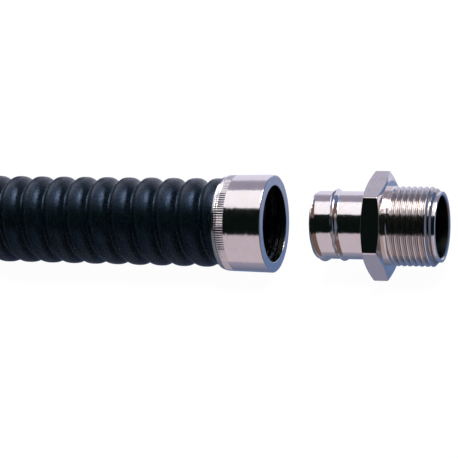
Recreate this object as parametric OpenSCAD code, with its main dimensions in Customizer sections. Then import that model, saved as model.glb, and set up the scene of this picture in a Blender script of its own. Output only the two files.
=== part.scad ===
// Two-piece metal connector for covered flexible conduit, shown apart, in millimetres.
// The adaptor is turned from one hexagon bar: entry thread, hexagon and a spigot with a helical ridge.
// The ferrule caps the cut end of the conduit, and the spigot screws through it into the conduit's bore.
// The X axis runs along the bore, out of the entry thread. The origin is on it, in the hexagon's seating face.

/* [Conduit] */
// Length of the piece of conduit
conduit_len = 78; // [50:1:120]
// Distance between the crests, which wind as one right-hand helix
pitch = 6.2; // [6:0.1:6.8]
// Smallest bore of the metal lining
lining_bore_d = 17.6; // [16:0.1:20]
// Depth of the helical groove inside the lining, on the radius
groove_depth = 1.05; // [0.9:0.05:1.2]
// Thickness of the metal strip that the lining is wound from
strip_t = 0.3; // [0.2:0.05:0.4]
// Thickness of the cover at its crests
cover_t = 1.27; // [1.1:0.01:1.6]
// Depth of the valleys between the crests, on the radius
valley_depth = 1.6; // [1.2:0.05:1.7]
// Distance from the conduit's cut end back to the first valley, on the horizontal
first_valley = 5.3; // [1:0.1:6]

/* [Ferrule] */
// Length of the ferrule
ferrule_len = 13; // [10:0.5:20]
// Thickness of its wall at the lip
lip_wall = 0.85; // [0.7:0.05:2]
// Thickness of its wall with the knurling
knurl_wall = 0.65; // [0.5:0.05:1.8]
// Thickness of the lip that stops the conduit's end
lip_len = 1.5; // [1:0.1:3]
// Bevel on the outer edge of the lip
lip_bevel = 0.3; // [0.1:0.05:0.35]
// Length of the taper at the knurled end
end_taper_len = 0.8; // [0.4:0.1:1.2]
// Thickness of the wall at the very end of that taper
end_edge = 0.15; // [0.1:0.01:0.3]
// Length of the band of axial knurling
knurl_len = 2.2; // [1.5:0.1:4]
// Number of teeth in the knurling
knurl_count = 120; // [60:4:140]
// Height of the knurling's teeth
knurl_height = 0.16; // [0.1:0.02:0.2]

/* [Adaptor] */
// Major diameter of the male entry thread
thread_d = 20; // [19:0.5:22]
// Distance between the thread's turns
thread_pitch = 1.5; // [1:0.25:2]
// Distance from the hexagon to the thread's first root, on the horizontal
first_root = 0.25; // [0:0.05:1.5]
// Length of the plain land between the hexagon and the thread
land_len = 1.2; // [0.8:0.1:2]
// Allowance of the thread's crests below the land, on the radius
crest_allowance = 0.03; // [0.01:0.01:0.1]
// Length of the entry thread, with its nose
thread_len = 13; // [9:0.5:16]
// Step from the thread's root down to the plain nose that leads it in, on the radius
nose_step = 0.3; // [0.1:0.05:0.6]
// Length of the plain nose
nose_len = 0.9; // [0.5:0.1:2]
// Width across the flats of the hexagon
hex_af = 24; // [23:0.5:30]
// Thickness of the hexagon
hex_len = 5; // [3.5:0.25:8]
// Angle of the chamfer on both sides of the hexagon
hex_chamfer = 17; // [10:1:30]
// Inset of the round face that the chamfer leaves, from the hexagon's flats
hex_inset = 0.6; // [0.2:0.1:1]
// Length of the spigot
spigot_len = 14; // [12:0.5:18]
// Thickness of the spigot's wall, round the bore that the cables pass through
spigot_wall = 0.95; // [0.8:0.05:1.6]
// Chamfer at the mouth of the bore in the thread's end
mouth_chamfer = 0.5; // [0.1:0.05:0.6]
// Bevel at the spigot's end, outside
spigot_bevel = 0.4; // [0.2:0.05:0.5]
// Bevel at the spigot's end, inside
spigot_mouth_bevel = 0.25; // [0.1:0.05:0.3]

/* [Spigot ridge] */
// Width of the helical ridge at its start
ridge_width = 2.8; // [1.8:0.1:3]
// Width of the ridge at its end
ridge_end_width = 1.8; // [1.2:0.1:2.6]
// Angle through which the ridge runs
ridge_sweep = 540; // [400:10:560]
// Angle of its run-out, over which it levels off
ridge_run_out = 230; // [120:10:240]
// Angle over which the ridge's height fades at its end
ridge_fade = 130; // [40:10:200]
// Distance by which the ridge stands ahead of the middle of the lining's groove, on the side it draws on
ridge_bearing = 0.9; // [0:0.1:1.1]

/* [Fit] */
// Gap between the ferrule's lip and the end of the spigot, as shown apart
apart = 11.7; // [4:0.1:30]
// Clearance of the ferrule's bore round the conduit, on the radius
ferrule_clearance = 0.2; // [0.15:0.05:0.3]
// Clearance of the spigot in the lining's bore, on the radius
spigot_clearance = 0.25; // [0.2:0.01:0.35]
// Clearance over the ridge in the lining's groove, on the radius
ridge_clearance = 0.3; // [0.2:0.05:0.4]
// Clearance of the hole in the ferrule's lip round the ridge, on the radius
lip_clearance = 0.25; // [0.15:0.05:0.5]
// Clearance between the lip and the conduit's cut end
end_clearance = 0.1; // [0.05:0.05:0.3]
// Clearance between the lining and the cover around it
bond_clearance = 0.03; // [0.02:0.01:0.05]

/* [Hidden] */
$fn = 96;

plated = "#b9b2b4";
black_cover = "#1b1e26";
zinc = "#9aa0a4";

// Conduit, from the lining outwards
lining_r = lining_bore_d / 2;
crest_r = lining_r + groove_depth + strip_t + bond_clearance + cover_t;

// Adaptor: its spigot and ridge fit the lining
spigot_r = lining_r - spigot_clearance;
ridge_r = lining_r + groove_depth - ridge_clearance;
bore_r = spigot_r - spigot_wall;
thread_r = thread_d / 2;
spigot_end = -hex_len - spigot_len;
hex_corner_r = hex_af / 2 / cos(30);
hex_face_r = hex_af / 2 - hex_inset;

// Metric thread form: flanks at 30 degrees, over five sixteenths of the pitch each
flank_share = 5 / 16;
thread_crest_r = thread_r - crest_allowance;
thread_root_r = thread_crest_r - thread_pitch * flank_share / tan(30);
nose_r = thread_root_r - nose_step;

// Ferrule: its bore fits the cover, and its lip lets the ridge pass
ferrule_bore_r = crest_r + ferrule_clearance;
ferrule_lip_r = ferrule_bore_r + lip_wall;
knurl_r = ferrule_bore_r + knurl_wall;
lip_hole_r = ridge_r + lip_clearance;
lip_face = spigot_end - apart;
ferrule_end = lip_face - ferrule_len;

// The teeth stand in a relief, with a little plain land at each end of them
relief_r = knurl_r - knurl_height;
relief_land = 0.1;
relief_len = knurl_len + 2 * relief_land;
tooth_root = 0.02;

// The ridge's foot lies under the spigot's skin
ridge_sink = 0.3;
ridge_step = 10;

// Section of the ridge from its foot, as [share of its width from the middle, share of its height]
ridge_form = [[-0.5, 0], [0.5, 0], [0.36, 0.55], [0.17, 1], [-0.17, 1], [-0.36, 0.55]];

// The conduit's cut ends, and the start of its waves
conduit_near = lip_face - lip_len - end_clearance;
conduit_far = conduit_near - conduit_len;
wave_start = conduit_near - first_valley;

// A knot nearer than this to a square end is taken as the end itself
knot_reach = 0.02;

// The ridge lies on the lining's helix, so that it screws in. Its middle starts in the spigot's end,
// at this angle from the horizontal
ridge_start = 360 * ((spigot_end - ridge_bearing - wave_start) / pitch - 0.5);

// How a helical surface runs: [pitch, place of a valley on the horizontal, far end, near end, columns round]
conduit_run = [pitch, wave_start, conduit_far, conduit_near, 24];
thread_run = [thread_pitch, first_root, land_len / 2, thread_len + 1, 36];

// One pitch of each helical surface, as [share of the pitch, radius], from a valley
crest_points = 6;
cover_wave = [for (i = [0 : crest_points - 1]) let (u = i / crest_points, lean = 2 * u - 1)
    [u, crest_r - valley_depth * (1 - sqrt(max(0, 1 - lean * lean)))]];
bore_wave = [[0.07, lining_r], [0.23, lining_r + groove_depth],
    [0.77, lining_r + groove_depth], [0.93, lining_r]];
thread_wave = [[1 / 8, thread_root_r], [1 / 8 + flank_share, thread_crest_r],
    [7 / 8 - flank_share, thread_crest_r], [7 / 8, thread_root_r]];
function thicker(wave, t) = [for (w = wave) [w[0], w[1] + t]];

// Turns a profile of [distance along X, radius] points about the X axis
module turned(profile)
    rotate([0, 90, 0]) rotate_extrude() polygon([for (p = profile) [p[1], p[0]]]);

// Distance along X of knot k of a wave, in column c of the run's columns
function knot_x(run, wave, c, k) =
    let (n = len(wave), turn = floor(k / n)) run[1] + run[0] * (turn + wave[k - n * turn][0] + c / run[4]);

// Radius of a wave at distance x, in column c
function wave_r(run, wave, c, x) =
    let (u = (x - run[1]) / run[0] - c / run[4]) lookup(u - floor(u), concat(wave, [[1, wave[0][1]]]));

// The knots that can lie between the run's two ends
function first_knot(run, wave) = len(wave) * (floor((run[2] - run[1]) / run[0]) - 1);
function last_knot(run, wave) = len(wave) * (ceil((run[3] - run[1]) / run[0]) + 1);

// In column c, the knot that stands for the far end, and the one that stands for the near end
function far_knot(run, wave, c) =
    max([for (k = [first_knot(run, wave) : last_knot(run, wave)])
        if (knot_x(run, wave, c, k) <= run[2] + knot_reach) k]);
function near_knot(run, wave, c) =
    min([for (k = [first_knot(run, wave) : last_knot(run, wave)])
        if (knot_x(run, wave, c, k) >= run[3] - knot_reach) k]);

function column_ends(run, wave) =
    [for (c = [0 : run[4] - 1]) [far_knot(run, wave, c), near_knot(run, wave, c)]];

// A wave's surface: its points column by column, cut square at both ends
function wave_points(run, wave) =
    let (ends = column_ends(run, wave))
    [for (c = [0 : run[4] - 1]) for (k = [first_knot(run, wave) : last_knot(run, wave)])
        let (
            x = k <= ends[c][0] ? run[2] : k >= ends[c][1] ? run[3] : knot_x(run, wave, c, k),
            r = wave_r(run, wave, c, x),
            a = 360 * c / run[4]
        )
        [x, r * cos(a), r * sin(a)]];

// Index in those points of knot k in column c, held between the column's two ends
function wave_index(run, wave, ends, c, k) =
    let (past = c >= run[4], col = past ? 0 : c, kk = past ? k + len(wave) : k, first = first_knot(run, wave))
    col * (last_knot(run, wave) - first + 1) + min(max(kk, ends[col][0]), ends[col][1]) - first;

// Triangles between neighbouring columns, without those that the ends have closed up
function wave_faces(run, wave, base, outward) =
    let (ends = column_ends(run, wave))
    [for (c = [0 : run[4] - 1]) for (k = [first_knot(run, wave) - len(wave) : last_knot(run, wave)])
        let (
            a = base + wave_index(run, wave, ends, c, k),
            b = base + wave_index(run, wave, ends, c, k + 1),
            d = base + wave_index(run, wave, ends, c + 1, k),
            e = base + wave_index(run, wave, ends, c + 1, k + 1)
        )
        for (f = outward ? [[a, b, e], [a, e, d]] : [[a, e, b], [a, d, e]])
            if (f[0] != f[1] && f[1] != f[2] && f[2] != f[0]) f];

// Flat ring that closes two waves at one end: 0 is the far end and 1 the near end
function end_faces(run, outer, inner, base, end) =
    let (eo = column_ends(run, outer), ei = column_ends(run, inner))
    [for (c = [0 : run[4] - 1])
        let (
            n = (c + 1) % run[4],
            a = wave_index(run, outer, eo, c, eo[c][end]),
            b = wave_index(run, outer, eo, n, eo[n][end]),
            d = base + wave_index(run, inner, ei, c, ei[c][end]),
            e = base + wave_index(run, inner, ei, n, ei[n][end])
        )
        for (f = end == 0 ? [[a, b, e], [a, e, d]] : [[a, e, b], [a, d, e]]) f];

// Tube between two waves
module helical_tube(run, outer, inner) {
    points = wave_points(run, outer);
    base = len(points);
    polyhedron(
        points = concat(points, wave_points(run, inner)),
        faces = concat(
            wave_faces(run, outer, 0, true),
            wave_faces(run, inner, base, false),
            end_faces(run, outer, inner, base, 0),
            end_faces(run, outer, inner, base, 1)
        )
    );
}

// Distance along X of the ridge's middle, at an angle from its start: the helix, then the run-out
function ridge_x(a) =
    let (late = max(0, a - ridge_sweep + ridge_run_out))
    spigot_end + pitch * (a - pow(late, 2) / (2 * ridge_run_out)) / 360;

// Share of the ridge's height at an angle from its start
function ridge_rise(a) = min(1, (ridge_sweep - a) / ridge_fade);

function ridge_section(a) =
    let (
        width = ridge_width + (ridge_end_width - ridge_width) * a / ridge_sweep,
        foot = spigot_r - ridge_sink,
        height = ridge_sink / 2 + (ridge_r - spigot_r + ridge_sink / 2) * ridge_rise(a),
        turn = ridge_start + a
    )
    [for (p = ridge_form)
        [ridge_x(a) + width * p[0], (foot + height * p[1]) * cos(turn), (foot + height * p[1]) * sin(turn)]];

// The ridge starts some way before the spigot's end, which cuts it off square
module ridge() {
    corners = len(ridge_form);
    before = ceil(ridge_width / pitch / 2 * 360 / ridge_step);
    steps = before + ridge_sweep / ridge_step;
    points = [for (i = [0 : steps]) each ridge_section((i - before) * ridge_step)];
    sides = [for (i = [0 : steps - 1]) for (j = [0 : corners - 1])
        let (a = i * corners + j, b = i * corners + (j + 1) % corners)
        for (f = [[a, b + corners, b], [a, a + corners, b + corners]]) f];
    last = steps * corners;
    first_end = [for (j = [1 : corners - 2]) [0, j, j + 1]];
    last_end = [for (j = [1 : corners - 2]) [last, last + j + 1, last + j]];
    intersection() {
        polyhedron(points = points, faces = concat(sides, first_end, last_end));
        turned([[spigot_end, 0], [spigot_end, 2 * ridge_r], [-hex_len, 2 * ridge_r], [-hex_len, 0]]);
    }
}

// Hexagon with a flat down, chamfered on both sides
module hexagon() {
    outer_r = hex_corner_r + 1;
    slope = (outer_r - hex_face_r) * tan(hex_chamfer);
    intersection() {
        translate([-hex_len, 0, 0]) rotate([0, 90, 0]) rotate([0, 0, 30])
            linear_extrude(hex_len) circle(r = hex_corner_r, $fn = 6);
        turned([[-hex_len, 0], [-hex_len, hex_face_r], [-hex_len + slope, outer_r],
            [-slope, outer_r], [0, hex_face_r], [0, 0]]);
    }
}

// Outside of the spigot and of the land at the thread's foot, which meet inside the hexagon
module adaptor_turning()
    turned([
        [spigot_end, 0], [spigot_end, spigot_r - spigot_bevel], [spigot_end + spigot_bevel, spigot_r],
        [-hex_len / 2, spigot_r], [-hex_len / 2, thread_r], [land_len, thread_r], [land_len, 0]
    ]);

// Entry thread, which starts inside the land and is cut back at its tip by a chamfer and a plain nose
module entry_thread() {
    over_r = thread_r + 0.5;
    nose_start = thread_len - nose_len;
    intersection() {
        helical_tube(thread_run, thread_wave, [[0, bore_r / 2]]);
        turned([
            [0, 0], [0, over_r], [nose_start - (over_r - nose_r), over_r],
            [nose_start, nose_r], [thread_len, nose_r], [thread_len, 0]
        ]);
    }
}

module adaptor_bore()
    turned([
        [spigot_end - 1, 0], [spigot_end - 1, bore_r + spigot_mouth_bevel],
        [spigot_end, bore_r + spigot_mouth_bevel], [spigot_end + spigot_mouth_bevel, bore_r],
        [thread_len - mouth_chamfer, bore_r], [thread_len, bore_r + mouth_chamfer],
        [thread_len + 1, bore_r + mouth_chamfer], [thread_len + 1, 0]
    ]);

module adaptor_body() color(plated)
    difference() {
        union() {
            adaptor_turning();
            ridge();
            hexagon();
            entry_thread();
        }
        adaptor_bore();
    }

// Wall of the ferrule, with the lip at its near end and a relief under the knurling at its far end
module ferrule_wall()
    turned([
        [ferrule_end, ferrule_bore_r],
        [ferrule_end, ferrule_bore_r + end_edge],
        [ferrule_end + end_taper_len, relief_r],
        [ferrule_end + end_taper_len + relief_len, relief_r],
        [ferrule_end + end_taper_len + relief_len + knurl_height, knurl_r],
        [lip_face - lip_bevel, ferrule_lip_r],
        [lip_face, ferrule_lip_r - lip_bevel],
        [lip_face, lip_hole_r],
        [lip_face - lip_len, lip_hole_r],
        [lip_face - lip_len, ferrule_bore_r]
    ]);

// Band of axial teeth, its inside sunk into the wall
module knurling()
    translate([ferrule_end + end_taper_len + relief_land, 0, 0]) rotate([0, 90, 0])
        linear_extrude(knurl_len) difference() {
            polygon([for (i = [0 : 2 * knurl_count - 1])
                let (r = i % 2 == 0 ? knurl_r : relief_r + tooth_root, a = 180 * i / knurl_count)
                [r * cos(a), r * sin(a)]]);
            circle(r = relief_r - tooth_root);
        }

module ferrule() color(plated) {
    ferrule_wall();
    knurling();
}

module conduit_cover() color(black_cover)
    helical_tube(conduit_run, cover_wave, thicker(bore_wave, strip_t + bond_clearance));

module conduit_lining() color(zinc)
    helical_tube(conduit_run, thicker(bore_wave, strip_t), bore_wave);

adaptor_body();
ferrule();
conduit_cover();
conduit_lining();
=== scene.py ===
"""Looks of the two-piece conduit connector: plated, turned metal on a black corrugated conduit."""
import math

import bmesh
import bpy
import numpy as np
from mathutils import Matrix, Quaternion, Vector


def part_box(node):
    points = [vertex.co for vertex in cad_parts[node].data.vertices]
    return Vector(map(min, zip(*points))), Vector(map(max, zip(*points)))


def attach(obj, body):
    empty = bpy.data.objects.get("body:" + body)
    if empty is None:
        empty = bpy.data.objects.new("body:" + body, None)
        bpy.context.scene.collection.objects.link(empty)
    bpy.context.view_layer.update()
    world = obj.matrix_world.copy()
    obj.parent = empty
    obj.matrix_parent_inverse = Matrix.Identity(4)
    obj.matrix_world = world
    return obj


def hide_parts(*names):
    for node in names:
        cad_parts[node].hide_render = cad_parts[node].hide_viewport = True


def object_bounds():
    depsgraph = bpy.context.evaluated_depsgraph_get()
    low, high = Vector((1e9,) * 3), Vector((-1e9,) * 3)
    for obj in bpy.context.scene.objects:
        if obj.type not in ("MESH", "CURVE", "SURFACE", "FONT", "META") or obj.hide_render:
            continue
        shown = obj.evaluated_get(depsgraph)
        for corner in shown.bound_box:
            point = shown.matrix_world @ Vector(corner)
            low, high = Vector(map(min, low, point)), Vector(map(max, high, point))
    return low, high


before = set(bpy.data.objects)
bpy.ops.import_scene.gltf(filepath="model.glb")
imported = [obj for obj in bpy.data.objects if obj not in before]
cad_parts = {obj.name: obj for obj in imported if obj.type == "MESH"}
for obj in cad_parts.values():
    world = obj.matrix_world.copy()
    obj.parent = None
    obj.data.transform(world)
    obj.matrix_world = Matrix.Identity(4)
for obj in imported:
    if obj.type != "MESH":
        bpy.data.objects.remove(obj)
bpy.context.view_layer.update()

MM = 0.001
TURN = 2 * math.pi

# Meshes: points closer than JOIN_M become one, and edges shorter than NO_AREA_M go
JOIN_M = 2e-7
NO_AREA_M = 1e-8
EDGE_R = 0.1
EDGE_STEPS = 3
# A rounding takes at most this share of a side
SIDE_SHARE = 0.45
# The guard point beside a rounding stands at most this far off
GUARD_MM = 0.15
GUARD_SHARE = 0.1

# Places that the frame gives, in millimetres: X runs along the bore


def node_box(node):
    low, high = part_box(node)
    return [v / MM for v in low], [v / MM for v in high]


ADAPTOR_LOW, ADAPTOR_HIGH = node_box("adaptor_body")
FERRULE_LOW, FERRULE_HIGH = node_box("ferrule")
COVER_LOW, COVER_HIGH = node_box("conduit_cover")

# Adaptor
HEX_LEN = 5.0
HEX_AF = 24.0
HEX_FACE_R = 11.4
HEX_CHAMFER = math.radians(17)
# Beyond this radius a corner keeps only a share of its height
HEX_ROUND_R = 13.73
HEX_ROUND_SHARE = 0.35
HEX_STEPS = 44
HEX_RIM_R = 0.2
SPIGOT_END = ADAPTOR_LOW[0]
SPIGOT_R = 8.55
SPIGOT_BEVEL = 0.4
BORE_R = 7.6
THREAD_END = ADAPTOR_HIGH[0]
THREAD_R = 10.0
THREAD_PITCH = 1.5
THREAD_DEPTH = 0.86
THREAD_BELOW_LAND = 0.03
# Shares of half a pitch: the crest's land and the flank after it
THREAD_LAND = 0.14
THREAD_FLANK = 0.66
THREAD_BULGE = 0.09
THREAD_SHADE = 0.42
THREAD_CREST_X = 1.0
LAND_LEN = 0.9
THREAD_FADE = 0.8
NOSE_LEN = 0.9
NOSE_STEP = 1.1
NOSE_INSET = 0.05
MOUTH_CHAMFER = 0.5
FAR_MOUTH_CHAMFER = 0.25
SPIGOT_ROWS = 46
THREAD_ROWS = 16
ADAPTOR_SMOOTH = 28

# Conduit
PITCH = 6.2
CREST_R = COVER_HIGH[2]
VALLEY_DEPTH = 1.4
VALLEY_ROUND = 0.18
VALLEY_FLAT = 0.03
VALLEY_CROWDING = 0.75
FULLNESS = 2.7
FIRST_VALLEY = 5.3
WAVE_START = COVER_HIGH[0] - FIRST_VALLEY
LINING_R = 8.8
GROOVE_DEPTH = 1.05
# Shares of half a pitch: where the groove's flank starts, and how long it is
GROOVE_FROM = 0.86
GROOVE_FLANK = 0.32
STRIP_T = 0.3
SEAM_WIDTH = 0.02
SEAM_DEPTH = 0.12
COVER_WANDER = 0.03
LAYER_GAP = 0.02
TUBE_COLUMNS = 192
# Rows to each turn of the helix
COVER_ROWS = 26
LINING_ROWS = 20
HIDDEN_ROWS = 8
CONDUIT_SMOOTH = 50

# Ridge on the spigot, which follows the lining's helix
RIDGE_R = LINING_R + GROOVE_DEPTH - 0.17
RIDGE_WIDTH = 2.2
RIDGE_END_WIDTH = 1.75
RIDGE_CREST = 0.12
RIDGE_SWEEP = 540
RIDGE_RUN_OUT = 230
RIDGE_FADE = 100
RIDGE_BACK = 200
RIDGE_AT_BEVEL = 0.62
# The ridge winds within this many turns on either side of its start
RIDGE_TURNS = 4
RIDGE_BEARING = 0.9
RIDGE_START = 360 * ((SPIGOT_END - RIDGE_BEARING - WAVE_START) / PITCH - 0.5)

# Ferrule
FERRULE_LIP_R = FERRULE_HIGH[2]
KNURL_R = 12.3
KNURL_HEIGHT = 0.084
KNURL_COUNT = 120
KNURL_LAND = 0.33
KNURL_END_SLOPE = 0.1
# Painted shade, with some roughness, at the bottom of the knurling's grooves
KNURL_SHADE_AND_DULLNESS = 0.12
KNURL_DEEP = 0.9
FERRULE_SMOOTH = 19
FERRULE_BORE_R = 11.65
LIP_LEN = 1.5
LIP_HOLE_R = 9.8
LIP_STEP = 0.4
LIP_STEPS = 6
END_TAPER = 1.5
END_CURVE = 1.5
END_EDGE_R = 11.95
END_RINGS = 0.25, 0.12, 0.04, 0
SHORT_ROW = 0.6, 1.15
LONG_ROW = 1.27, 3.2

# Colours, linear
NICKEL = (0.80, 0.755, 0.74)
PLASTIC = (0.0014, 0.0046, 0.0048)
PLASTIC_SHEEN = (0.37, 0.59, 1.0)
# Colour of the bore and of deep recesses: painted shade
BORE_PAINTED_SHADE = (0.022, 0.03, 0.024)
# Galvanised grey darkened as painted shade, since the strip lies inside the conduit
SHADED_ZINC = (0.09, 0.10, 0.11)
# What thin plating multiplies the nickel by
FERRULE_WARM = (1.0, 0.96, 0.92)
ADAPTOR_WARM = (1.0, 0.965, 0.93)
# Where the mesh's painted shade and dullness are full: its grazing colour, darkened as painted
# shade, and the roughness added
SHADED_GRAZING_TINT = (0.3, 0.3, 0.3)
DULL_ROUGHNESS = 0.35
STREAK_SCALE = (4.0, 0.3, 0.3)
STREAK_SWAY = 0.09


# Meshes


def merged_object(name, verts, faces, smooth_angle, shade_and_dullness=None):
    """An object from vertices in millimetres, with coincident points joined.

    Edges that turn by more than smooth_angle are sharp.
    shade_and_dullness(x, r) gives each vertex a share from 0, polished, to 1, painted dark as
    shade in a bore and made rougher."""
    mesh = bpy.data.meshes.new(name)
    mesh.from_pydata((np.asarray(verts) * MM).tolist(), [], faces)
    bm = bmesh.new()
    bm.from_mesh(mesh)
    bmesh.ops.remove_doubles(bm, verts=bm.verts, dist=JOIN_M)
    bmesh.ops.dissolve_degenerate(bm, edges=bm.edges, dist=NO_AREA_M)
    bmesh.ops.recalc_face_normals(bm, faces=bm.faces)
    bm.to_mesh(mesh)
    bm.free()
    for polygon in mesh.polygons:
        polygon.use_smooth = True
    mesh.set_sharp_from_angle(angle=math.radians(smooth_angle))
    if shade_and_dullness is not None:
        attribute = mesh.attributes.new("shade_and_dullness", "FLOAT", "POINT")
        for item, vertex in zip(attribute.data, mesh.vertices):
            x, y, z = vertex.co / MM
            item.value = shade_and_dullness(x, math.hypot(y, z))
    obj = bpy.data.objects.new(name, mesh)
    bpy.context.scene.collection.objects.link(obj)
    return obj


class Shell:
    """Collects sheets of vertices that share one set of columns round the X axis."""

    def __init__(self, angles):
        self.angles = np.asarray(angles)
        self.count = len(angles)
        self.verts = []
        self.faces = []

    def _place(self, xs, rs):
        xs = np.broadcast_to(xs, (self.count,))
        rs = np.broadcast_to(rs, (self.count,))
        return np.stack([xs, rs * np.cos(self.angles), rs * np.sin(self.angles)], axis=1)

    def rings(self, profile):
        """Rings that follow one another, each (x, r), as numbers or as arrays over the columns."""
        base = len(self.verts)
        for x, r in profile:
            self.verts.extend(self._place(x, r).tolist())
        n = self.count
        for k in range(len(profile) - 1):
            for c in range(n):
                d = (c + 1) % n
                a = base + k * n
                self.faces.append((a + c, a + d, a + n + d, a + n + c))

    def helix(self, x0, x1, pitch, start, knots, radius):
        """A sheet whose rows wind as a helix, between two square ends.

        knots are shares of the pitch, and radius(x, angle) gives the form."""
        base = len(self.verts)
        n = self.count
        per_turn = len(knots)
        first = math.floor((x0 - start) / pitch) - 2
        last = math.ceil((x1 - start) / pitch) + 1
        starts = np.array([start + pitch * (t + u) for t in range(first, last + 1) for u in knots])
        shift = pitch * self.angles / TURN
        xs = np.clip(starts[:, None] + shift[None, :], x0, x1)
        for row in xs:
            self.verts.extend(self._place(row, radius(row, self.angles)).tolist())
        for k in range(len(starts) - 1):
            for c in range(n):
                # Past the last column the helix goes on one turn further
                kk, d = (k, c + 1) if c + 1 < n else (k + per_turn, 0)
                if kk + 1 >= len(starts):
                    continue
                corners = ((k, c), (kk, d), (kk + 1, d), (k + 1, c))
                low = all(xs[i] <= x0 for i in corners)
                high = all(xs[i] >= x1 for i in corners)
                if low or high:
                    continue
                self.faces.append(tuple(base + i * n + j for i, j in corners))


def even_columns(count):
    return np.arange(count) * TURN / count


def rounded(profile, steps=EDGE_STEPS):
    """The (x, r) polyline with each inner corner rounded. A third value is a corner's own radius.

    A point on each side of a rounding keeps its soft shading off the flats."""
    out = [tuple(profile[0][:2])]
    for i in range(1, len(profile) - 1):
        before, here, after = (np.array(profile[j][:2], float) for j in (i - 1, i, i + 1))
        want = profile[i][2] if len(profile[i]) > 2 else EDGE_R
        to_before, to_after = before - here, after - here
        len_b, len_a = np.linalg.norm(to_before), np.linalg.norm(to_after)
        to_before, to_after = to_before / len_b, to_after / len_a
        half = math.acos(max(-1, min(1, float(to_before @ to_after)))) / 2
        reach = 0
        if half > 1e-4:
            reach = min(want / math.tan(half), SIDE_SHARE * len_b, SIDE_SHARE * len_a)
        if reach < 1e-4 or half > math.radians(88):
            out.append(tuple(here))
            continue
        guard_b, guard_a = (min(GUARD_MM, GUARD_SHARE * side) for side in (len_b, len_a))
        out.append(tuple(here + to_before * (reach + guard_b)))
        turn_r = reach * math.tan(half)
        between = to_before + to_after
        centre = here + between / np.linalg.norm(between) * turn_r / math.sin(half)
        a = here + to_before * reach - centre
        b = here + to_after * reach - centre
        swing = math.pi - 2 * half
        for s in range(steps + 1):
            t = s / steps
            p = (math.sin((1 - t) * swing) * a + math.sin(t * swing) * b) / math.sin(swing)
            out.append(tuple(centre + p))
        out.append(tuple(here + to_after * (reach + guard_a)))
    out.append(tuple(profile[-1][:2]))
    return out


# Materials


class Nodes:
    """A material's node tree, with short calls to add and join its nodes."""

    def __init__(self, name):
        self.material = bpy.data.materials.new(name)
        self.material.use_nodes = True
        self.tree = self.material.node_tree
        self.tree.nodes.clear()
        self.output = self.tree.nodes.new("ShaderNodeOutputMaterial")

    def add(self, kind, **values):
        node = self.tree.nodes.new("ShaderNode" + kind)
        for key, value in values.items():
            if key in node.inputs:
                node.inputs[key].default_value = value
            else:
                setattr(node, key, value)
        return node

    def join(self, source, target, out=0, into=0):
        self.tree.links.new(source.outputs[out], target.inputs[into])
        return target

    def coordinates(self, scale):
        """Object coordinates in millimetres times scale."""
        coordinates = self.add("TexCoord")
        mapping = self.add("Mapping")
        mapping.inputs["Scale"].default_value = [s / MM for s in scale]
        self.join(coordinates, mapping, "Object", "Vector")
        return mapping

    def noise(self, scale, detail=4.0, roughness=0.55):
        noise = self.add("TexNoise", Scale=1.0, Detail=detail, Roughness=roughness)
        self.join(self.coordinates(scale), noise, 0, "Vector")
        return noise

    def ramp(self, source, stops):
        """A colour ramp over the source. Each stop is (position, grey value or colour)."""
        ramp = self.add("ValToRGB")
        elements = ramp.color_ramp.elements
        while len(elements) < len(stops):
            elements.new(0.5)
        for element, (position, value) in zip(elements, stops):
            element.position = position
            element.color = (*value, 1) if isinstance(value, tuple) else (value, value, value, 1)
        self.join(source, ramp, 0, "Fac")
        return ramp

    def bump(self, source, strength, distance_mm, out=0, below=None):
        bump = self.add("Bump", Strength=strength, Distance=distance_mm * MM)
        self.join(source, bump, out, "Height")
        if below is not None:
            self.join(below, bump, "Normal", "Normal")
        return bump

    def streaked(self, below, scale, strength):
        """The normal below, swayed across X, as turning marks break a reflection's edge."""
        streaks = self.noise(scale, detail=3.0)
        centred = self.add("VectorMath", operation="SUBTRACT")
        centred.inputs[1].default_value = (0.5, 0.5, 0.5)
        self.join(streaks, centred, "Color", 0)
        scaled = self.add("VectorMath", operation="MULTIPLY")
        scaled.inputs[1].default_value = (0, strength, strength)
        self.join(centred, scaled, 0, 0)
        swayed = self.add("VectorMath", operation="ADD")
        self.join(below, swayed, "Normal", 0)
        self.join(scaled, swayed, 0, 1)
        return self.join(swayed, self.add("VectorMath", operation="NORMALIZE"))


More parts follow.
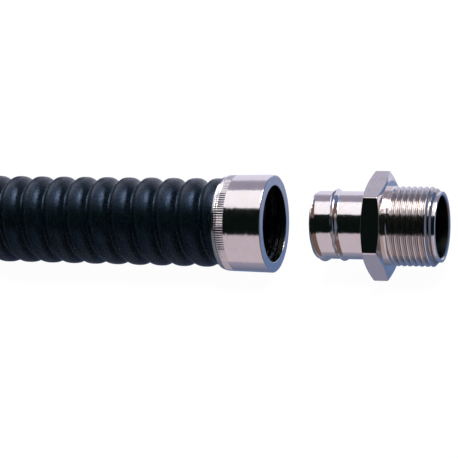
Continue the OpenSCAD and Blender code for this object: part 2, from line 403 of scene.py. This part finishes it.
def plated_metal(name, warm):
    """Nickel over turned brass, with fine turning rings.

    Where the plating is thin, its colour is multiplied by warm. Where the mesh's
    shade_and_dullness is high, as in a bore, the colour and grazing reflection are darkened as
    painted shade, and the metal is rougher."""
    n = Nodes(name)
    shader = n.add("BsdfPrincipled", Metallic=1.0)
    patches = n.noise((0.35, 0.35, 0.35), detail=3.0)
    tint = n.ramp(patches, [(0.35, NICKEL), (0.75, tuple(c * w for c, w in zip(NICKEL, warm)))])
    # Painted shade and dullness: darkens the colour and the grazing reflection as painted shade,
    # and adds roughness
    dull = n.add("Attribute", attribute_name="shade_and_dullness")
    painted_shade_colour = n.add("Mix", data_type="RGBA")
    painted_shade_colour.inputs["B"].default_value = (*BORE_PAINTED_SHADE, 1)
    n.tree.links.new(dull.outputs["Fac"], painted_shade_colour.inputs["Factor"])
    n.tree.links.new(tint.outputs[0], painted_shade_colour.inputs["A"])
    n.tree.links.new(painted_shade_colour.outputs[2], shader.inputs["Base Color"])
    edge = n.add("Mix", data_type="RGBA")
    edge.inputs["A"].default_value = (1, 1, 1, 1)
    edge.inputs["B"].default_value = (*SHADED_GRAZING_TINT, 1)
    n.tree.links.new(dull.outputs["Fac"], edge.inputs["Factor"])
    n.tree.links.new(edge.outputs[2], shader.inputs["Specular Tint"])
    smudges = n.noise((0.9, 0.5, 0.5), detail=6.0)
    roughness = n.ramp(smudges, [(0.3, 0.07), (0.7, 0.15)])
    squared = n.add("Math", operation="MULTIPLY")
    n.join(dull, squared, "Fac", 0)
    n.join(dull, squared, "Fac", 1)
    rougher = n.add("Math", operation="MULTIPLY_ADD")
    rougher.inputs[1].default_value = DULL_ROUGHNESS
    n.join(squared, rougher, 0, 0)
    n.join(roughness, rougher, 0, 2)
    n.join(rougher, shader, 0, "Roughness")
    rings = n.noise((14.0, 0.02, 0.02), detail=2.0)
    turned = n.bump(rings, 0.25, 0.004)
    waviness = n.noise((0.22, 0.22, 0.22), detail=2.0)
    soft = n.bump(waviness, 0.5, 0.02, below=turned)
    n.join(n.streaked(soft, STREAK_SCALE, STREAK_SWAY), shader, 0, "Normal")
    n.join(shader, n.output, 0, "Surface")
    return n.material


def black_plastic():
    """Satin soft plastic: blue-black, with a fine leathery grain and faint scuffs."""
    n = Nodes("black_plastic")
    shader = n.add("BsdfPrincipled", IOR=1.45)
    shader.inputs["Specular IOR Level"].default_value = 0.4
    shader.inputs["Specular Tint"].default_value = (*PLASTIC_SHEEN, 1)
    blotches = n.noise((0.25, 0.25, 0.25), detail=4.0)
    lighter = tuple(c * 1.7 for c in PLASTIC)
    n.join(n.ramp(blotches, [(0.3, PLASTIC), (0.8, lighter)]), shader, 0, "Base Color")
    scuffs = n.noise((1.6, 0.8, 0.8), detail=5.0)
    n.join(n.ramp(scuffs, [(0.3, 0.22), (0.7, 0.32)]), shader, 0, "Roughness")
    pores = n.add("TexVoronoi", Scale=1.0, feature="SMOOTH_F1")
    n.join(n.coordinates((2.6, 1.7, 1.7)), pores, 0, "Vector")
    grain = n.bump(pores, 0.45, 0.08, out="Distance")
    fine = n.bump(n.noise((3.6, 2.2, 2.2), detail=6.0, roughness=0.72), 0.8, 0.07, below=grain)
    n.join(fine, shader, 0, "Normal")
    n.join(shader, n.output, 0, "Surface")
    return n.material


def zinc_steel():
    """Dull galvanised strip, its grey darkened as painted shade, with rolling lines and grey
    bloom.
    """
    n = Nodes("zinc_strip")
    shader = n.add("BsdfPrincipled", Metallic=1.0)
    bloom = n.noise((0.8, 0.8, 0.8), detail=6.0)
    darker = tuple(c * 0.55 for c in SHADED_ZINC)
    n.join(n.ramp(bloom, [(0.35, darker), (0.7, SHADED_ZINC)]), shader, 0, "Base Color")
    n.join(n.ramp(bloom, [(0.3, 0.38), (0.7, 0.55)]), shader, 0, "Roughness")
    lines = n.bump(n.noise((9.0, 0.3, 0.3), detail=3.0), 0.3, 0.01)
    n.join(lines, shader, 0, "Normal")
    n.join(shader, n.output, 0, "Surface")
    return n.material


# Conduit


def share(x, angle):
    """Share of the conduit's pitch at a place, from 0 in a valley to 0.5 on a crest."""
    u = (x - WAVE_START) / PITCH - angle / TURN
    return u - np.floor(u)


def unevenness(x, angle, seed):
    """A slow, smooth wander between -1 and 1 that closes on itself round the axis."""
    return (
        np.sin(0.31 * x + 2 * angle + seed)
        + np.sin(0.53 * x - 3 * angle + 1.7 * seed)
        + np.sin(1.07 * x + 5 * angle + 2.9 * seed)
    ) / 3


def cover_r(x, angle):
    """Full round crests, with a small soft round in each valley."""
    lean = np.minimum(np.abs(2 * share(x, angle) - 1) / (1 - VALLEY_FLAT), 1)
    meet = 1 - VALLEY_ROUND

    def fall(t):
        return 1 - (1 - t**FULLNESS) ** (1 / FULLNESS)

    step = 1e-4
    slope = (fall(meet) - fall(meet - step)) / step
    beyond = np.maximum(lean - meet, 0)
    drop = fall(np.minimum(lean, meet)) + slope * beyond - slope * beyond**2 / (2 * VALLEY_ROUND)
    full = fall(meet) + slope * VALLEY_ROUND / 2
    wander = COVER_WANDER * unevenness(x, angle, 0.4)
    return CREST_R - COVER_WANDER - VALLEY_DEPTH * drop / full + wander


def flat_wave(x, angle, low):
    """A groove with a flat bottom and sloping flanks between narrow lands."""
    lean = np.abs(2 * share(x, angle) - 1)
    rise = np.clip((GROOVE_FROM - lean) / GROOVE_FLANK, 0, 1)
    return low + GROOVE_DEPTH * rise * rise * (3 - 2 * rise)


def lining_inner_r(x, angle):
    """Bore of the wound strip, with the fine step where one turn of strip locks on the next."""
    seam = np.exp(-(((share(x, angle) - 0.5) / SEAM_WIDTH) ** 2))
    return flat_wave(x, angle, LINING_R + LAYER_GAP) - SEAM_DEPTH * seam


def lining_outer_r(x, angle):
    return flat_wave(x, angle, LINING_R + STRIP_T)


def cover_inner_r(x, angle):
    return flat_wave(x, angle, LINING_R + STRIP_T + LAYER_GAP)


def tube(name, outer, inner, outer_knots, inner_knots):
    """A corrugated tube, cut square at both of the conduit's ends."""
    x0, x1 = COVER_LOW[0], COVER_HIGH[0]
    shell = Shell(even_columns(TUBE_COLUMNS))
    shell.helix(x0, x1, PITCH, WAVE_START, outer_knots, outer)
    shell.helix(x0, x1, PITCH, WAVE_START, inner_knots, inner)
    for x in (x0, x1):
        shell.rings([(x, outer(x, shell.angles)), (x, inner(x, shell.angles))])
    return merged_object(name, shell.verts, shell.faces, CONDUIT_SMOOTH)


def valley_knots(count):
    """Shares of the pitch that crowd towards the valley, where the form turns sharply."""
    out = []
    for k in range(count):
        t = k / count
        out.append(t - VALLEY_CROWDING * math.sin(TURN * t) / TURN)
    return out


def even_knots(count):
    return [k / count for k in range(count)]


def make_conduit():
    outside, hidden = valley_knots(COVER_ROWS), even_knots(HIDDEN_ROWS)
    sleeve = tube("conduit_sleeve", cover_r, cover_inner_r, outside, hidden)
    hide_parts("conduit_cover")
    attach(sleeve, "conduit")
    sleeve.data.materials.append(black_plastic())
    bore = even_knots(LINING_ROWS)
    strip = tube("lining_strip", lining_outer_r, lining_inner_r, hidden, bore)
    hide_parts("conduit_lining")
    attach(strip, "conduit")
    strip.data.materials.append(zinc_steel())


# Ferrule


def knurl_columns():
    """Three columns to each tooth: both edges of its land, then the bottom of its groove."""
    tooth = TURN / KNURL_COUNT
    parts = (0, KNURL_LAND, (1 + KNURL_LAND) / 2)
    return np.array([tooth * (k + part) for k in range(KNURL_COUNT) for part in parts])


def make_ferrule():
    shell = Shell(knurl_columns())
    groove = np.tile([0.0, 0.0, 1.0], KNURL_COUNT)
    far, near = FERRULE_LOW[0], FERRULE_HIGH[0]

    def line(x):
        """Radius of the ferrule's plain outside."""
        if x < far + END_TAPER:
            to_end = 1 - (x - far) / END_TAPER
            return KNURL_R - (KNURL_R - END_EDGE_R) * to_end**END_CURVE
        along = (x - far - END_TAPER) / (near - far - END_TAPER)
        return KNURL_R + (FERRULE_LIP_R - KNURL_R) * along

    def knurl_rings(x0, x1):
        """A row of grooves pressed into the outside between two planes, with sloping ends."""
        ends = (x0 + KNURL_END_SLOPE, x1 - KNURL_END_SLOPE)
        cut = [(x, line(x) - KNURL_HEIGHT * groove) for x in ends]
        return [(x0, line(x0))] + cut + [(x1, line(x1))]

    short_row, long_row = ([far + x for x in row] for row in (SHORT_ROW, LONG_ROW))
    row_end = long_row[1]
    lip_back = near - LIP_LEN
    lip_step = (lip_back, LIP_HOLE_R + LIP_STEP)
    lip = rounded(
        [
            lip_step,
            (lip_back, LIP_HOLE_R, 0.05),
            (near, LIP_HOLE_R),
            (near, FERRULE_LIP_R, 0.3),
            (row_end + 2, line(row_end + 2)),
        ],
        steps=LIP_STEPS,
    )
    profile = lip + [(x, line(x)) for x in (row_end + 0.3, row_end + 0.1)]
    profile += list(reversed(knurl_rings(*long_row)))
    profile += list(reversed(knurl_rings(*short_row)))
    profile += [(far + x, line(far + x)) for x in END_RINGS]
    profile += [(far, FERRULE_BORE_R), (lip_back, FERRULE_BORE_R), lip_step]
    shell.rings(profile)

    def shade_and_dullness(x, r):
        """Painted shade and dullness inside, and a little painted shade and dullness at the bottom
        of the knurling's grooves.
        """
        if r < FERRULE_BORE_R + 0.02 and x < near - 0.2:
            return 1.0
        grooved = x < row_end and r < line(x) - KNURL_HEIGHT * KNURL_DEEP
        return KNURL_SHADE_AND_DULLNESS if grooved else 0.0

    ring = merged_object("ferrule_ring", shell.verts, shell.faces, FERRULE_SMOOTH, shade_and_dullness)
    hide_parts("ferrule")
    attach(ring, "ferrule")
    ring.data.materials.append(plated_metal("plated_ferrule", FERRULE_WARM))


# Adaptor


def hex_columns():
    """Angles round the axis, crowded at the hexagon's corners."""
    near_corner = [0.12, 0.3, 0.6, 1.0, 1.6]
    flat_from = near_corner[-1]
    out = []
    for corner in range(6):
        at = 60 * corner
        out += [at - d for d in reversed(near_corner)] + [at] + [at + d for d in near_corner]
        out += [at + flat_from + (60 - 2 * flat_from) * k / HEX_STEPS for k in range(1, HEX_STEPS)]
    return np.radians(np.array(out))


def hex_r(angle):
    """Radius of the hexagon's flats, with slightly rounded corners."""
    turned = np.degrees(angle) % 60
    off_flat = np.radians(np.abs(turned - 30))
    sharp = HEX_AF / 2 / np.cos(off_flat)
    return np.minimum(sharp, HEX_ROUND_R + (sharp - HEX_ROUND_R) * HEX_ROUND_SHARE)


def ridge_rise(x, angle):
    """Height of the helical ridge over the spigot."""
    height = np.zeros_like(x)
    start = math.radians(RIDGE_START)
    for turn in range(-RIDGE_TURNS, RIDGE_TURNS):
        # Degrees along the ridge from its start
        a = np.degrees(angle - start) % 360 + 360 * turn
        late = np.maximum(0, a - RIDGE_SWEEP + RIDGE_RUN_OUT)
        centre = SPIGOT_END + PITCH * (a - late**2 / (2 * RIDGE_RUN_OUT)) / 360
        width = RIDGE_WIDTH + (RIDGE_END_WIDTH - RIDGE_WIDTH) * np.clip(a / RIDGE_SWEEP, -0.5, 1)
        rise = np.clip((RIDGE_SWEEP - a) / RIDGE_FADE, 0, 1) * (a > -RIDGE_BACK)
        off = np.abs(2 * (x - centre) / width)
        # Straight flanks up to a narrow, rounded crest
        dome = np.clip((1 - np.sqrt(off**2 + RIDGE_CREST**2)) / (1 - RIDGE_CREST), 0, 1)
        height = np.maximum(height, (RIDGE_R - SPIGOT_R) * rise * dome)
    return height


def thread_r(x, angle):
    """Thread with slightly rounded crests, from its fade at the shoulder to the nose's chamfer."""
    u = (x - THREAD_CREST_X) / THREAD_PITCH - angle / TURN
    off = np.abs(2 * (u - np.round(u)))
    form = np.clip((off - THREAD_LAND) / THREAD_FLANK, 0, 1)
    form = form + THREAD_BULGE * np.sin(TURN * form)
    fade = np.clip((x - LAND_LEN) / THREAD_FADE, 0, 1)
    r = THREAD_R - (THREAD_BELOW_LAND + THREAD_DEPTH * form) * fade
    chamfer_x = THREAD_END - NOSE_LEN - NOSE_STEP
    cut = THREAD_R - np.maximum(0, x - chamfer_x)
    return np.minimum(r, cut)


def hex_profile(r_corner, inner_left, inner_right):
    """One column of the hexagon, from the spigot's foot to the thread's root."""
    drop = (r_corner - HEX_FACE_R) * math.tan(HEX_CHAMFER)
    return rounded(
        [
            (-HEX_LEN, inner_left),
            (-HEX_LEN, HEX_FACE_R, HEX_RIM_R),
            (-HEX_LEN + drop, r_corner),
            (-drop, r_corner),
            (0, HEX_FACE_R, HEX_RIM_R),
            (0, inner_right),
        ]
    )


def make_adaptor():
    shell = Shell(hex_columns())
    angles = shell.angles
    nose_r = THREAD_R - NOSE_STEP - NOSE_INSET
    nose_start = THREAD_END - NOSE_LEN
    bevel_end = SPIGOT_END + SPIGOT_BEVEL

    def clipped_spigot(x, angle):
        """The spigot with its ridge, bevelled at its end."""
        ridge = ridge_rise(x, angle)
        bevel = SPIGOT_R - np.maximum(0, bevel_end - x) + RIDGE_AT_BEVEL * ridge
        return np.minimum(SPIGOT_R + ridge, bevel)

    shell.helix(SPIGOT_END, -HEX_LEN, PITCH, WAVE_START, even_knots(SPIGOT_ROWS), clipped_spigot)
    end_r = clipped_spigot(np.full(len(angles), SPIGOT_END), angles)
    foot_r = clipped_spigot(np.full(len(angles), -HEX_LEN), angles)
    root_r = thread_r(np.zeros(len(angles)), angles)
    columns = [hex_profile(r, f, t) for r, f, t in zip(hex_r(angles), foot_r, root_r)]
    shell.rings([np.array(ring).T for ring in zip(*columns)])
    shell.helix(0.0, nose_start, THREAD_PITCH, THREAD_CREST_X, even_knots(THREAD_ROWS), thread_r)
    tip_r = thread_r(np.full(len(angles), nose_start), angles)
    nose = rounded(
        [
            (nose_start, nose_r),
            (THREAD_END, nose_r, 0.12),
            (THREAD_END, BORE_R + MOUTH_CHAMFER, 0.06),
            (THREAD_END - MOUTH_CHAMFER, BORE_R),
            (SPIGOT_END + FAR_MOUTH_CHAMFER, BORE_R),
            (SPIGOT_END, BORE_R + FAR_MOUTH_CHAMFER, 0.06),
            (SPIGOT_END, SPIGOT_R - SPIGOT_BEVEL - 0.02),
        ]
    )
    shell.rings([(nose_start, tip_r)] + nose + [(SPIGOT_END, end_r)])

    def shade_and_dullness(x, r):
        """Painted shade and dullness in the bore, and a little painted shade and dullness where
        the thread is deep.
        """
        if r < BORE_R + 0.1 and SPIGOT_END + 0.3 < x < THREAD_END - MOUTH_CHAMFER / 2:
            return 1.0
        if LAND_LEN < x < nose_start:
            return THREAD_SHADE * min(1, max(0, (THREAD_R - 0.05 - r) / THREAD_DEPTH))
        return 0.0

    body = merged_object("adaptor_turned", shell.verts, shell.faces, ADAPTOR_SMOOTH, shade_and_dullness)
    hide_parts("adaptor_body")
    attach(body, "adaptor")
    body.data.materials.append(plated_metal("plated_adaptor", ADAPTOR_WARM))


# Studio: a floor, cards that the metal reflects, and a soft box overhead

CARD_DISTANCE = 1.5
CARD_STEPS = 8
DISC_SIDES = 24


def glow(name):
    """Emission that takes its colour from the card's own colour attribute."""
    n = Nodes(name)
    colour = n.add("Attribute", attribute_name="card_colour")
    light = n.add("Emission", Strength=1.0)
    n.join(colour, light, "Color", "Color")
    n.join(light, n.output, 0, "Surface")
    return n.material


def glowing_sheet(name, points, faces, colours):
    """A card with a colour at each point, for reflections only."""
    mesh = bpy.data.meshes.new(name)
    mesh.from_pydata(points, [], faces)
    attribute = mesh.color_attributes.new("card_colour", "FLOAT_COLOR", "POINT")
    for item, colour in zip(attribute.data, colours):
        item.color = (*colour, 1.0)
    obj = bpy.data.objects.new(name, mesh)
    bpy.context.scene.collection.objects.link(obj)
    mesh.materials.append(glow(name))
    obj.visible_camera = False
    obj.visible_shadow = False


def card(name, stops, x0, x1):
    """An arc about the object's axis, from x0 to x1 in metres.

    Stops are (elevation from the front horizon in degrees, colour), blended between."""
    marks = []
    for (e0, c0), (e1, c1) in zip(stops, stops[1:]):
        for k in range(CARD_STEPS):
            t = k / CARD_STEPS
            marks.append((e0 + (e1 - e0) * t, [p + (q - p) * t for p, q in zip(c0, c1)]))
    marks.append(stops[-1])
    points, colours = [], []
    for elevation, colour in marks:
        a = math.radians(elevation)
        for x in (x0, x1):
            points.append((x, -CARD_DISTANCE * math.cos(a), CARD_DISTANCE * math.sin(a)))
            colours.append(colour)
    faces = [(2 * k, 2 * k + 1, 2 * k + 3, 2 * k + 2) for k in range(len(marks) - 1)]
    glowing_sheet(name, points, faces, colours)


def disc(name, x, colour):
    """A round card that closes the arcs at one end."""
    turns = [TURN * k / DISC_SIDES for k in range(DISC_SIDES)]
    ring = [(x, CARD_DISTANCE * math.cos(a), CARD_DISTANCE * math.sin(a)) for a in turns]
    glowing_sheet(name, ring, [tuple(range(DISC_SIDES))], [colour] * DISC_SIDES)


# The cards' colours, linear
DARK = (0.003, 0.006, 0.005)
SLATE = (0.13, 0.21, 0.40)
SLATE_LOW = (0.17, 0.20, 0.31)
MAUVE = (0.36, 0.35, 0.45)
MAUVE_DEEP = (0.33, 0.31, 0.41)
LAVENDER = (0.64, 0.64, 0.80)
LAVENDER_PALE = (0.82, 0.82, 1.0)
PINK = (0.62, 0.55, 0.63)
DUSK = (0.15, 0.18, 0.28)
DUSK_LOW = (0.12, 0.15, 0.23)
BROWN = (0.17, 0.115, 0.10)
BOX_EDGE = (1.14, 1.13, 1.22)
BOX_MIDDLE = (14, 12.8, 13)
BOX_BEYOND = (0.8, 0.8, 0.9)
BACK_BEYOND = (1.6, 1.6, 1.9)
PINK_BEYOND = (0.13, 0.16, 0.19)
PINK_DIM = (0.52, 0.46, 0.49)
# Elevations of the soft box's edges, in degrees
BOX_FROM, BOX_TO = 67, 115
# Places along X, in metres: the lamp's ends, and how far the cards reach
BOX_LAMP, BOX_RIGHT = -0.27, 0.42
REACH = 2.6
# The metal's plain turning sees only between these two places
LEFT_FROM, FLANK_FROM = -0.7, 0.6


def make_cards():
    card("card_front", [(4, DARK), (66, DARK)], -REACH, REACH)
    low_back = [(-205, LAVENDER_PALE), (-165, LAVENDER_PALE), (-148, SLATE)]
    low_back += [(-110, SLATE_LOW), (-78, MAUVE)]
    card("card_low", low_back + [(-74, PINK), (0, PINK), (4, DARK)], LEFT_FROM, BOX_LAMP)
    fillets = low_back + [(-74, PINK_DIM), (0, PINK_DIM), (4, DARK)]
    card("card_low_fillets", fillets, BOX_LAMP, FLANK_FROM)
    high_back = [(BOX_TO, MAUVE), (129, MAUVE_DEEP), (146, MAUVE), (155, LAVENDER)]
    card("card_high_back", high_back, LEFT_FROM, FLANK_FROM)
    lamp = [(BOX_FROM, BOX_EDGE), (BOX_FROM + 13, BOX_EDGE), (BOX_FROM + 21, BOX_MIDDLE)]
    lamp += [(BOX_TO - 9, BOX_MIDDLE), (BOX_TO, BOX_EDGE)]
    card("soft_box_lamp", lamp, BOX_LAMP, BOX_RIGHT)
    card("soft_box_spill", [(BOX_FROM, BOX_EDGE), (BOX_TO, BOX_EDGE)], LEFT_FROM, BOX_LAMP)
    card("card_top_right", [(66, DARK), (72, BROWN), (BOX_TO, BROWN)], BOX_RIGHT, REACH)
    # What only the conduit and the ferrule's far rim see
    left_low = [(-205, DUSK), (-78, DUSK_LOW), (-70, PINK_BEYOND), (0, PINK_BEYOND), (4, DARK)]
    card("card_low_left", left_low, -REACH, LEFT_FROM)
    left_top = [(BOX_FROM, DARK), (BOX_FROM + 20, BOX_BEYOND), (BOX_TO - 10, BOX_BEYOND)]
    left_top += [(BOX_TO + 8, BACK_BEYOND), (155, BACK_BEYOND)]
    card("card_top_left", left_top, -REACH, LEFT_FROM)
    # What the flanks of the thread and the ridge see
    right_low = [(-205, SLATE), (-110, SLATE), (-74, BROWN), (0, BROWN), (4, DARK)]
    card("card_low_right", right_low, FLANK_FROM, REACH)
    card("card_back_right", [(BOX_TO, BROWN), (128, SLATE), (155, SLATE)], FLANK_FROM, REACH)
    disc("card_end_right", REACH, DUSK)
    disc("card_end_left", -REACH, DUSK)


FLOOR_HALF = 3.0
FLOOR_GAP = 0.0002
FLOOR_PAPER = 0.9
FLOOR_GLOW = 1.035
FLOOR_GLOW_SHARE = 0.94
WORLD_DIM = (0.35, 0.35, 0.38)


def make_floor():
    """A pale floor that shows white to the camera, apart from a faint shadow."""
    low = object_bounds()[0]
    z = low[2] - FLOOR_GAP
    signs = ((-1, -1), (1, -1), (1, 1), (-1, 1))
    corners = [(sx * FLOOR_HALF, sy * FLOOR_HALF, z) for sx, sy in signs]
    mesh = bpy.data.meshes.new("floor")
    mesh.from_pydata(corners, [], [(0, 1, 2, 3)])
    floor = bpy.data.objects.new("floor", mesh)
    bpy.context.scene.collection.objects.link(floor)
    n = Nodes("pale_floor")
    paper = n.add("BsdfDiffuse", Color=(FLOOR_PAPER, FLOOR_PAPER, FLOOR_PAPER, 1))
    white = n.add("Emission", Color=(1, 1, 1, 1), Strength=FLOOR_GLOW)
    path = n.add("LightPath")
    share_of_white = n.add("Math", operation="MULTIPLY")
    share_of_white.inputs[1].default_value = FLOOR_GLOW_SHARE
    n.join(path, share_of_white, "Is Camera Ray", 0)
    mix = n.add("MixShader")
    n.join(share_of_white, mix, 0, 0)
    n.join(paper, mix, 0, 1)
    n.join(white, mix, 0, 2)
    n.join(mix, n.output, 0, "Surface")
    mesh.materials.append(n.material)
    floor.visible_glossy = False


def make_world():
    """White to the camera and in reflections, and dimmer as light on dull surfaces."""
    world = bpy.data.worlds.new("studio")
    bpy.context.scene.world = world
    world.use_nodes = True
    tree = world.node_tree
    tree.nodes.clear()
    path = tree.nodes.new("ShaderNodeLightPath")
    either = tree.nodes.new("ShaderNodeMath")
    either.operation = "MAXIMUM"
    tree.links.new(path.outputs["Is Camera Ray"], either.inputs[0])
    tree.links.new(path.outputs["Is Glossy Ray"], either.inputs[1])
    any_of = tree.nodes.new("ShaderNodeMath")
    any_of.operation = "MAXIMUM"
    tree.links.new(either.outputs[0], any_of.inputs[0])
    tree.links.new(path.outputs["Is Transmission Ray"], any_of.inputs[1])
    white = tree.nodes.new("ShaderNodeBackground")
    white.inputs["Color"].default_value = (1, 1, 1, 1)
    dim = tree.nodes.new("ShaderNodeBackground")
    dim.inputs["Color"].default_value = (*WORLD_DIM, 1)
    mix = tree.nodes.new("ShaderNodeMixShader")
    out = tree.nodes.new("ShaderNodeOutputWorld")
    tree.links.new(any_of.outputs[0], mix.inputs[0])
    tree.links.new(dim.outputs[0], mix.inputs[1])
    tree.links.new(white.outputs[0], mix.inputs[2])
    tree.links.new(mix.outputs[0], out.inputs["Surface"])


# Camera, at the photograph's place

PHOTO_PX = 458
FOCAL_PX = 2000
SENSOR_MM = 36
CAMERA_AT = Vector((0.12636, -0.41907, 0.24389))
CAMERA_TARGET = Vector((-0.04166, -0.00413, 0.00060))
CAMERA_ROLL = -9.78


def make_camera():
    data = bpy.data.cameras.new("camera")
    data.sensor_width = SENSOR_MM
    data.lens = SENSOR_MM * FOCAL_PX / PHOTO_PX
    data.clip_start = 0.01
    camera = bpy.data.objects.new("camera", data)
    bpy.context.scene.collection.objects.link(camera)
    facing = (CAMERA_TARGET - CAMERA_AT).to_track_quat("-Z", "Y")
    camera.rotation_mode = "QUATERNION"
    camera.rotation_quaternion = facing @ Quaternion((0, 0, 1), math.radians(CAMERA_ROLL))
    camera.location = CAMERA_AT
    bpy.context.scene.camera = camera


make_camera()
make_conduit()
make_ferrule()
make_adaptor()
make_floor()
make_cards()
make_world()
bpy.context.scene.view_settings.view_transform = "Standard"
